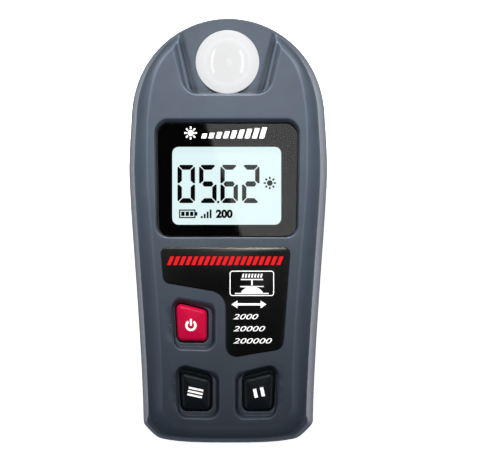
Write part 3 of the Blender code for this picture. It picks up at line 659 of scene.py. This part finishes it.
def front_forms():
    """The moulded hollows of the face: the scoop, the display's surround and the key wells."""
    found = [Recess([(scoop_outline(*w[:4]), w[4]) for w in SCOOP_WALLS], 0.12, 0.25, 1.0)]
    lens_floor = offsets(LENS, ((0.3, 23.2), (0.36, 24.5)))
    found.append(Recess([*lens_floor, (rounded(RECESS), 26.05)], 0.1, 0.35, 1.5))
    for name in KEY_PLACES:
        place = {**key_place(name), "spacing": 1.2}
        well = [(rounded(WELL_FLOOR, 0.0, **place), 24.5), (rounded(WELL, 0.0, **place), 26.1)]
        found.append(Recess(well, 0.15, 0.22, 1.0))
        hole = ((0.3, 21.3), (0.36, 24.0), (0.7, 24.6))
        found.append(Recess(offsets(key_hole(name), hole, **place), 0.1, 0.2, 1.2))
    return found


def front_cuts():
    """The openings with square edges: the display's view, the label's seat, the dome's hole."""
    bore = ((DOME_HOLE_R, 21.4), (DOME_HOLE_R + 0.05, 26.0))
    dome_hole = [(circle((0, DOME_Y), radius), z) for radius, z in bore]
    return [
        Recess(offsets(VIEW, ((0.4, 20.5), (0.9, 23.3))), 0.06, 0.1),
        Recess(offsets(LABEL, ((0.12, 25.7), (0.18, 26.2))), 0.05, 0.06),
        Recess(dome_hole, 0.05, 0.1, 40.0),
    ]


def face_height(points, recesses):
    """The hollow shoulder and flat face, with every recess taken out of them."""
    inside = -signed_distance(points, edge_ring())
    away = signed_distance(points, RIDGE)
    across = inside / (inside + np.abs(away) + 1e-9)
    share = np.where(away > 0, across, 1.0 - away / SHOULDER_REACH)
    rise = (FACE_Z - EDGE_Z) * np.clip(share, 0.0, 2.0) ** SHOULDER_HOLLOW
    lip = LIP_RISE * np.clip((LIP_TOP_Y - points[:, 1]) / LIP_FADE, 0.0, 1.0)
    shoulder = EDGE_Z - smooth_min(-rise, -lip, 0.05)
    height = smooth_min(shoulder, np.full(len(points), FACE_Z), 0.25)
    for recess in recesses:
        height = smooth_min(height, recess.height(points), recess.blend)
    return height


def shoulder_lines():
    """Mesh lines across the shoulder, closest together at its foot and at the ridge."""
    low = edge_ring()
    foot = (0.06, 0.12, 0.18, 0.24, 0.3, 0.38, 0.5)
    ridge = (0.63, 0.75, 0.84, 0.91, 0.96, 1.0, 1.04, 1.1, 1.2)
    return [low + (RIDGE - low) * share for share in foot + ridge]


def make_front_shell():
    forms = front_forms()
    recesses = forms + front_cuts()
    lines = shoulder_lines()
    for recess in recesses:
        lines += recess.lines()
    rings = [edge_ring()]
    for k in range(1, WALL_STEPS + 1):
        down = k / WALL_STEPS
        rings.append((edge_ring((1 - down) ** 2), down, SEAM_FRONT_Z + 0.15))
    inner = ((0.12, SEAM_FRONT_Z), (1.1, SEAM_FRONT_Z), (1.15, 13.9), (2.3, 13.9), (2.4, 20.0))
    rings += [(ring(inset), 1.0, z) for inset, z in inner]
    height = partial(face_height, recesses=recesses)
    form = partial(face_height, recesses=forms)
    case = shell("front_case", height, form, lines, rings, CASE, True)
    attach(case, "case")
    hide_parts("front_shell")


# ---------------------------------------------------------------- rear shell


def rear_recesses():
    """The battery bay, the door's thumb notch and the screws' seats.

    Heights here are negative: how deep each is, from the back.
    """
    bay = offsets(BAY, ((0.0, -12.7), (0.06, -2.15)))
    bay += offsets(DOOR, ((0.3, -2.1), (0.38, -0.1)))
    found = [Recess(bay, 0.05, 0.12, 1.0)]
    notch = [(circle((0, -3.0), radius), z) for radius, z in ((5.4, -1.0), (7.2, 0.1))]
    found.append(Recess(notch, 0.4, 0.3, 1.0))
    for x, y in CASE_SCREWS:
        for place in ((-x, y), (x, y)):
            seat = [(circle(place, r, 40), z) for r, z in ((2.72, -4.0), (2.78, -0.3), (3.1, 0.05))]
            found.append(Recess(seat, 0.05, 0.1, 1.0))
    return found


def back_form(points, recesses):
    """The back seen from outside: zero, and negative in the recesses."""
    form = np.zeros(len(points))
    for recess in recesses:
        form = smooth_min(form, recess.height(points), recess.blend)
    return form


def back_height(points, recesses):
    return -back_form(points, recesses)


def make_rear_shell():
    recesses = rear_recesses()
    lines = [line for recess in recesses for line in recess.lines()]
    profile = (
        (3.7, 0.06), (3.1, 0.25), (2.5, 0.58), (1.95, 1.05), (1.45, 1.7), (1.0, 2.5),
        (0.66, 3.5), (0.4, 4.8), (0.2, 6.5), (0.06, 8.6), (0.0, 10.5), (0.0, 12.05),
    )
    rings = [ring(BACK_INSET)]
    rings += [(ring(inset), z / SEAM_REAR_Z, SEAM_REAR_Z) for inset, z in profile]
    lip = ((0.12, SEAM_REAR_Z), (1.4, SEAM_REAR_Z), (1.45, 13.5), (2.2, 13.5))
    rings += [(ring(inset), 1.0, z) for inset, z in lip]
    height = partial(back_height, recesses=recesses)
    form = partial(back_form, recesses=recesses)
    case = shell("rear_case", height, form, lines, rings, CASE, False)
    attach(case, "case")
    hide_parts("rear_shell")


# ---------------------------------------------------------------- keys, dome, window


def loft(name, rings, look, tip=None):
    """A closed solid through rings of equally many points, each (outline, height)."""
    count = len(rings[0][0])
    vertices = [np.column_stack((o, np.full(count, z))) for o, z in rings]
    faces = [tuple(reversed(range(count)))]
    for r in range(len(rings) - 1):
        low, high = r * count, (r + 1) * count
        for i in range(count):
            j = (i + 1) % count
            faces.append((low + i, low + j, high + j, high + i))
    top = (len(rings) - 1) * count
    if tip is None:
        faces.append(tuple(range(top, top + count)))
    else:
        vertices.append(np.array([tip]))
        faces += [(top + i, top + (i + 1) % count, top + count) for i in range(count)]
    return mesh_of(name, np.vstack(vertices), faces, look)


def key_rings(place):
    """The stem, a broad roll and a gently pillowed top."""
    roll, steps, low = 1.5, 9, 24.6
    levels = [(0.0, 22.7), (0.0, low)]
    for k in range(1, steps + 1):
        turn = pi / 2 * k / steps
        levels.append((-roll * (1 - cos(turn)), low + roll * sin(turn)))
    pillow = ((2.0, 0.06), (2.8, 0.14), (3.5, 0.2), (4.0, 0.22))
    levels += [(-inward, low + roll + rise) for inward, rise in pillow]
    return offsets(KEY, levels, **place, **WHOLE)


def make_keys():
    looks = {"power_key": RED_RUBBER, "mode_key": BLACK_RUBBER, "hold_key": BLACK_RUBBER}
    for name, look in looks.items():
        rings = key_rings(key_place(name))
        middle = rings[-1][0].mean(axis=0)
        key = loft(f"{name}_top", rings, look, (*middle, 26.43))
        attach(key, name)
        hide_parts(name)


def make_dome():
    """A spherical cap on a short round foot."""
    foot, base, steps = 21.5, 22.6, 24
    rise = DOME_TOP - base
    radius = (DOME_R**2 + rise**2) / (2 * rise)
    rings = [(circle((0, DOME_Y), DOME_R), foot)]
    edge = np.arcsin(DOME_R / radius)
    for k in range(steps):
        turn = edge * (1 - k / steps)
        height = DOME_TOP - radius + radius * cos(turn)
        rings.append((circle((0, DOME_Y), radius * sin(turn)), height))
    dome = loft("dome", rings, GLOWING_OPAL, (0.0, DOME_Y, DOME_TOP))
    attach(dome, "case")
    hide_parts("sensor_dome")


def make_window():
    """The clear window, with its edges rounded off."""
    levels = ((-0.1, 23.9), (0.0, 24.0), (0.0, 24.8), (-0.06, 24.93), (-0.2, 25.0))
    window = loft("window", offsets(LENS, levels, **WHOLE), WINDOW)
    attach(window, "case")
    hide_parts("display_window")


# ---------------------------------------------------------------- print


def flat_print(name, outlines, low, look, body):
    """Thin printed marks. An outline inside another is a hole in it."""
    curve = bpy.data.curves.new(name, "CURVE")
    curve.dimensions = "2D"
    curve.fill_mode = "BOTH"
    curve.extrude = PRINT_THICK / 2 * MM
    for outline in outlines:
        spline = curve.splines.new("POLY")
        spline.points.add(len(outline) - 1)
        for point, (x, y) in zip(spline.points, outline):
            point.co = (x * MM, y * MM, 0.0, 1.0)
        spline.use_cyclic_u = True
    helper = bpy.data.objects.new(name, curve)
    helper.location.z = (low + PRINT_THICK / 2) * MM
    return settled(helper, look, body)


def settled(helper, look, body):
    """A mesh piece in place of a curve or text helper."""
    bpy.context.scene.collection.objects.link(helper)
    bpy.context.view_layer.update()
    evaluated = helper.evaluated_get(bpy.context.evaluated_depsgraph_get())
    mesh = bpy.data.meshes.new_from_object(evaluated)
    mesh.transform(helper.matrix_world)
    name = helper.name
    bpy.data.objects.remove(helper)
    weld = bmesh.new()
    weld.from_mesh(mesh)
    bmesh.ops.remove_doubles(weld, verts=weld.verts, dist=0.0005 * MM)
    weld.to_mesh(mesh)
    weld.free()
    mesh.materials.clear()
    mesh.materials.append(look)
    piece = bpy.data.objects.new(name, mesh)
    bpy.context.scene.collection.objects.link(piece)
    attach(piece, body)
    return piece


def number(name, text, place, size, low, look, slant=0.0, bold=0.0):
    """A printed number, scaled to that size, from the middle of its left edge."""
    (left, middle_y), (width, height) = place, size
    curve = bpy.data.curves.new(name, "FONT")
    curve.body = text
    curve.size = 1.0
    curve.shear = slant
    curve.offset = bold
    curve.extrude = 0.0001
    helper = bpy.data.objects.new(name, curve)
    bpy.context.scene.collection.objects.link(helper)
    bpy.context.view_layer.update()
    corners = np.array([tuple(c) for c in helper.bound_box])
    span = corners.max(axis=0) - corners.min(axis=0)
    bpy.context.scene.collection.objects.unlink(helper)
    scale = np.array((width, height, PRINT_THICK)) * MM / span
    helper.scale = scale
    foot = corners.min(axis=0)
    helper.location = (
        left * MM - foot[0] * scale[0],
        (middle_y - height / 2) * MM - foot[1] * scale[1],
        (low + PRINT_THICK / 2) * MM,
    )
    return settled(helper, look, "case")


def bar(x, y, width, height, slant=0.0):
    """A parallelogram from its lower left corner, leaning right by slant times its height."""
    lean, top = slant * height, y + height
    return np.array(((x, y), (x + width, y), (x + width + lean, top), (x + lean, top)))


def sun(x, y, radius, rays=8, thick=0.11):
    """A disc with rays around it."""
    marks = [circle((x, y), radius * 0.46, 24)]
    for k in range(rays):
        turn = 2 * pi * k / rays
        out, across = np.array((cos(turn), sin(turn))), np.array((-sin(turn), cos(turn)))
        half = radius * thick * across
        near, far = 0.62 * radius * out, radius * out
        ray = (near - half, far - half, far + half, near + half)
        marks.append(np.array(ray) + (x, y))
    return marks


def arc_band(centre, inner, outer, start, end, steps=28):
    """Part of a ring between two angles in degrees."""
    around = directions(np.radians(np.linspace(start, end, steps)))
    return np.array(centre) + np.vstack((around * outer, around[::-1] * inner))


# The seven-segment digits that the display shows, with segments named a to g as is usual.
SEGMENTS = {"0": "abcdef", "2": "abged", "5": "afgcd", "6": "afgedc"}


def digit_marks(digit, x, y, width, height):
    """Seven-segment marks from the digit's lower left corner."""
    right, top, middle = x + width, y + height, y + height / 2
    cap = ((0.85, 0.0), (width - 0.85, 0.0), (width - 0.5, 0.4), (width - 1.7, 1.6), (1.7, 1.6),
           (0.5, 0.4))
    dash = ((1.0, 0.0), (1.6, 0.85), (width - 1.6, 0.85), (width - 1.0, 0.0),
            (width - 1.6, -0.85), (1.6, -0.85))
    side = ((0.0, 0.85), (0.28, 0.6), (1.42, 1.74), (1.42, height / 2 - 1.05),
            (0.45, height / 2 - 0.16), (0.0, height / 2 - 0.28))
    shapes = {
        "a": [(x + u, top - v) for u, v in cap],
        "d": [(x + u, y + v) for u, v in cap],
        "g": [(x + u, middle + v) for u, v in dash],
        "f": [(x + u, top - v) for u, v in side],
        "b": [(right - u, top - v) for u, v in side],
        "e": [(x + u, y + v) for u, v in side],
        "c": [(right - u, y + v) for u, v in side],
    }
    return [np.array(shapes[segment]) for segment in SEGMENTS[digit]]


def make_display():
    """The display's seven-segment reading and small indicators."""
    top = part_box("lcd_glass")[1].z / MM + PRINT_GAP
    marks = []
    for digit, x in zip("0562", (-16.1, -9.15, -2.3, 4.65)):
        marks += digit_marks(digit, x, 8.85, 5.65, 12.32)
    marks.append(circle((-3.0, 9.2), 0.42, 16))
    marks += sun(13.6, 15.3, 2.0, 8, 0.14)
    # A battery, drawn as an outline round three cells, then a row of level bars.
    marks.append(np.array(((-15.6, 4.0), (-10.3, 4.0), (-10.3, 4.8), (-9.7, 4.8), (-9.7, 6.0),
                           (-10.3, 6.0), (-10.3, 6.8), (-15.6, 6.8))))
    marks.append(bar(-15.2, 4.4, 4.5, 2.0))
    marks += [bar(-14.9 + 1.42 * k, 4.7, 1.08, 1.4) for k in range(3)]
    marks += [bar(-8.6 + 0.95 * k, 4.0, 0.62, 0.7 + 0.7 * k) for k in range(4)]
    flat_print("display_marks", marks, top, INK_LCD, "case")
    number("range_reading", "200", (-3.75, 5.4), (5.4, 2.75), top, INK_LCD, bold=0.055)


def make_window_title():
    """A light meter's emblem on the window: a sun and a rising row of slanted bars."""
    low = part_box("window_mask")[1].z / MM + PRINT_GAP
    marks = sun(-11.8, 31.35, 2.05, 8, 0.12)
    for k in range(9):
        marks.append(bar(-8.4 + 2.33 * k, 29.65, 1.5, 1.5 + 0.25 * k, 0.3))
    flat_print("window_title", marks, low, INK_TITLE, "case")


def make_label():
    """The black label with its stripe, pictogram and range numbers."""
    levels = ((0.05, 25.72), (0.05, 25.94), (0.0, 25.98))
    label = loft("label", offsets(LABEL, levels, **WHOLE), BLACK_PRINT)
    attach(label, "case")
    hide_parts("function_label")
    top = 25.985
    stripes = [bar(-19.3 + 1.95 * k, -11.05, 1.2, 2.8, 0.4) for k in range(19)]
    flat_print("label_stripes", stripes, top, INK_RED, "case")
    flat_print("label_pictogram", pictogram(), top, INK_WHITE, "case")
    arrow = ((1.4, -23.65), (3.3, -24.9), (3.3, -24.0), (10.7, -24.0), (10.7, -24.9),
             (12.6, -23.65), (10.7, -22.4), (10.7, -23.3), (3.3, -23.3), (3.3, -22.4))
    flat_print("range_arrow", [np.array(arrow)], top, INK_WHITE, "case")
    for text, y, width in (("2000", -27.6, 8.1), ("20000", -31.45, 10.3), ("200000", -35.35, 12.5)):
        number(f"range_{text}", text, (1.9, y), (width, 1.7), top, INK_WHITE, 0.3, 0.004)


def pictogram():
    """A framed drawing of a lamp over a sensor on a table."""
    box = ((15.1, -12.8, 1.0), (0.75, -12.8, 1.0), (0.75, -21.0, 1.0), (15.1, -21.0, 1.0))
    marks = [rounded(box, grow, spacing=99.0) for grow in (-0.05, -0.32)]
    marks += [bar(4.7 + 0.98 * k, -15.05, 0.5, 1.2, 0.25) for k in range(7)]
    marks.append(pendant(7.95))
    marks += [bar(4.2, -18.1, 3.35, 0.34), bar(8.35, -18.1, 3.35, 0.34)]
    marks.append(half_dome(7.95, -19.85, 3.55, 1.95))
    marks.append(bar(2.5, -20.35, 10.8, 0.36))
    return marks


def pendant(x):
    """The mark of a lamp's bar and stem over the sensor."""
    half, stem, top, low, foot = 3.55, 0.22, -15.5, -15.85, -17.6
    return np.array(((x - half, top), (x - half, low), (x - stem, low), (x - stem, foot),
                     (x + stem, foot), (x + stem, low), (x + half, low), (x + half, top)))


def half_dome(x, low, half, rise, steps=24):
    """The part of a disc above a chord."""
    radius = (half * half + rise * rise) / (2 * rise)
    reach = np.arcsin(half / radius)
    angles = np.linspace(-reach, reach, steps)
    around = np.stack((radius * np.sin(angles), radius * (np.cos(angles) - cos(reach))), axis=1)
    return around + (x, low)


def make_key_marks():
    """The power symbol, three lines for the mode key and two bars for the hold key."""
    top = 26.41
    power = [arc_band((-11.6, -30.4), 1.08, 1.8, -236, 56), bar(-11.9, -30.5, 0.6, 2.2)]
    flat_print("power_mark", power, top, INK_WHITE, "power_key")
    for name, x, turn, marks in (
        ("mode", -10.2, -12, [bar(-2.4, y, 4.8, 0.62) for y in (-1.4, -0.3, 0.8)]),
        ("hold", 10.2, 12, [bar(u, -1.45, 1.1, 2.9) for u in (-1.7, 0.6)]),
    ):
        tilt = np.array(Matrix.Rotation(radians(turn), 2))
        tilted = [mark @ tilt.T + (x, -51.9) for mark in marks]
        flat_print(f"{name}_mark", tilted, top, INK_WHITE, f"{name}_key")


# ---------------------------------------------------------------- carried-over CAD pieces


def dress_nodes():
    """Looks for the pieces whose shape is used as it was packed."""
    board = material("board_mask", (0.012, 0.11, 0.045), 0.35)
    vary_colour(board, 1.5, 0.2)
    looks = {
        "case_plastic": CASE,
        "black_print": BLACK_PRINT,
        "red_rubber": RED_RUBBER,
        "black_rubber": BLACK_RUBBER,
        "grey_rubber": rubber("grey_rubber", (0.22, 0.23, 0.25), 0.6),
        "carbon": rubber("carbon", (0.01, 0.01, 0.01), 0.7),
        "diffuser": GLOWING_OPAL,
        "black_plastic": rubber("black_plastic", (0.01, 0.01, 0.012), 0.4),
        "filter_glass": material("filter_glass", (0.18, 0.42, 0.24), 0.05),
        "silicon": material("silicon", (0.02, 0.02, 0.05), 0.12),
        "board": board,
        "white_plastic": rubber("white_plastic", (0.8, 0.8, 0.77), 0.5),
        "lcd_glass": LCD,
        "clear_window": WINDOW,
        "steel": STEEL,
        "nickel_plate": NICKEL,
        "cell_can": rubber("cell_wrap", (0.03, 0.075, 0.16), 0.3),
        "wire_red": rubber("wire_red", (0.55, 0.02, 0.02), 0.45),
        "wire_black": rubber("wire_black", (0.015, 0.015, 0.017), 0.45),
    }
    for entry in frame["record"]["subparts"]:
        mesh = NODES[entry["node"]].data
        mesh.materials.clear()
        mesh.materials.append(looks[entry["material_slot"]])
        mesh.shade_smooth()
        mesh.set_sharp_from_angle(angle=radians(35))
    NODES["window_mask"].data.materials[0] = MASK


# ---------------------------------------------------------------- studio


def placed_light(name, kind, place, target, power, **settings):
    """A light at a place, aimed at the target. settings are more of its properties."""
    data = bpy.data.lights.new(name, kind)
    data.energy = power
    for setting, value in settings.items():
        setattr(data, setting, value)
    light = bpy.data.objects.new(name, data)
    light.location = place
    light.rotation_euler = (Vector(target) - Vector(place)).to_track_quat("-Z", "Y").to_euler()
    light.visible_camera = False
    bpy.context.scene.collection.objects.link(light)
    return light


def area_light(name, place, target, size, power):
    sides = {"shape": "RECTANGLE", "size": size[0], "size_y": size[1]}
    return placed_light(name, "AREA", place, target, power, **sides)


def link(light, role, names, state):
    """Sets the pieces one light reaches, or those that shade it."""
    pieces = bpy.data.collections.new(f"{light.name}_{role}")
    setattr(light.light_linking, role, pieces)
    for name in names:
        pieces.objects.link(bpy.data.objects[name])
    for entry in pieces.collection_objects:
        entry.light_linking.link_state = state


def make_floor():
    mesh = bpy.data.meshes.new("floor")
    mesh.from_pydata([(-3, -3, 0), (3, -3, 0), (3, 3, 0), (-3, 3, 0)], [], [(0, 1, 2, 3)])
    look = material("floor_white", (0.8, 0.8, 0.8), 0.8)
    shader_of(look).inputs["Emission Color"].default_value = (1.0, 1.0, 1.0, 1.0)
    shader_of(look).inputs["Emission Strength"].default_value = 0.8
    mesh.materials.append(look)
    floor = bpy.data.objects.new("floor", mesh)
    floor.location.z = -0.0003
    bpy.context.scene.collection.objects.link(floor)
    floor.visible_glossy = False


def make_world():
    """White walls all round, and a dark ceiling that leaves the window black."""
    world = bpy.data.worlds.new("studio")
    bpy.context.scene.world = world
    world.use_nodes = True
    tree = world.node_tree
    coords = tree.nodes.new("ShaderNodeTexCoord")
    split = tree.nodes.new("ShaderNodeSeparateXYZ")
    fade = tree.nodes.new("ShaderNodeValToRGB")
    fade.color_ramp.elements[0].position = 0.49
    fade.color_ramp.elements[0].color = (0.2, 0.2, 0.2, 1.0)
    fade.color_ramp.elements[1].position = 0.7
    fade.color_ramp.elements[1].color = (0.03, 0.03, 0.03, 1.0)
    for position in (0.51, 0.54):
        fade.color_ramp.elements.new(position).color = (1.08, 1.16, 1.3, 1.0)
    lift = tree.nodes.new("ShaderNodeMath")
    lift.operation = "MULTIPLY_ADD"
    lift.inputs[1].default_value = 0.5
    lift.inputs[2].default_value = 0.5
    tree.links.new(coords.outputs["Generated"], split.inputs["Vector"])
    tree.links.new(split.outputs["Z"], lift.inputs[0])
    tree.links.new(lift.outputs[0], fade.inputs["Fac"])
    tree.links.new(fade.outputs["Color"], tree.nodes["Background"].inputs["Color"])


def make_lights():
    """A spot from beyond the sensor end, strips at the sides, a card over the window, and the
    white table's glow on the case's sides."""
    middle = (0.0, 0.0, 0.02)
    key = placed_light("key", "SPOT", (0.0, 0.42, 0.5), (0.0, 0.044, 0.02), 43.0)
    key.data.spot_size = radians(12.8)
    key.data.color = (1.0, 0.955, 0.9)
    key.scale = (2.0, 1.0, 1.0)
    key.data.spot_blend = 1.0
    key.data.shadow_soft_size = 0.06
    link(key, "receiver_collection", ("dome", "window", "window_mask"), "EXCLUDE")
    for side, width, power in ((1, 0.15, 2.2), (-1, 0.13, 1.8)):
        strip = area_light(f"strip_{side}", (side * 0.65, 0.055, 0.48), middle, (1.15, width), power)
        link(strip, "receiver_collection", ("front_case",), "EXCLUDE")
    for side, power in ((1, 2.6), (-1, 2.0)):
        glow = area_light(f"table_glow_{side}", (side * 0.5, 0.1, -0.33), middle, (0.6, 0.3), power)
        glow.data.color = (0.97, 0.97, 1.0)
        link(glow, "receiver_collection", ("front_case", "rear_case"), "INCLUDE")
        link(glow, "blocker_collection", ("floor",), "EXCLUDE")
    # The window mirrors the card's edge as a slanting line.
    card = area_light("window_card", (0.118, 0.071, 0.925), (0.118, 0.071, 0.0), (0.3, 0.4), 0.56)
    card.rotation_euler = (0.0, 0.0, radians(17.6))


def make_camera():
    """Down on the face, a little from its right. The sensor end is up."""
    data = bpy.data.cameras.new("camera")
    data.sensor_width = 36.0
    data.lens = data.sensor_width * LOOK_DISTANCE / FRAME_WIDTH
    data.clip_end = 20.0
    camera = bpy.data.objects.new("camera", data)
    turn = radians(LOOK_TURN)
    away = LOOK_DISTANCE * Vector((sin(turn), 0.0, cos(turn)))
    camera.location = (Vector(LOOK_AT) + away) * MM
    camera.rotation_euler = (0.0, turn, 0.0)
    bpy.context.scene.collection.objects.link(camera)
    bpy.context.scene.camera = camera


def main():
    bpy.context.scene.view_settings.view_transform = "Standard"
    dress_nodes()
    make_front_shell()
    make_rear_shell()
    make_keys()
    make_dome()
    make_window()
    make_display()
    make_window_title()
    make_label()
    make_key_marks()
    make_floor()
    make_world()
    make_lights()
    make_camera()


main()
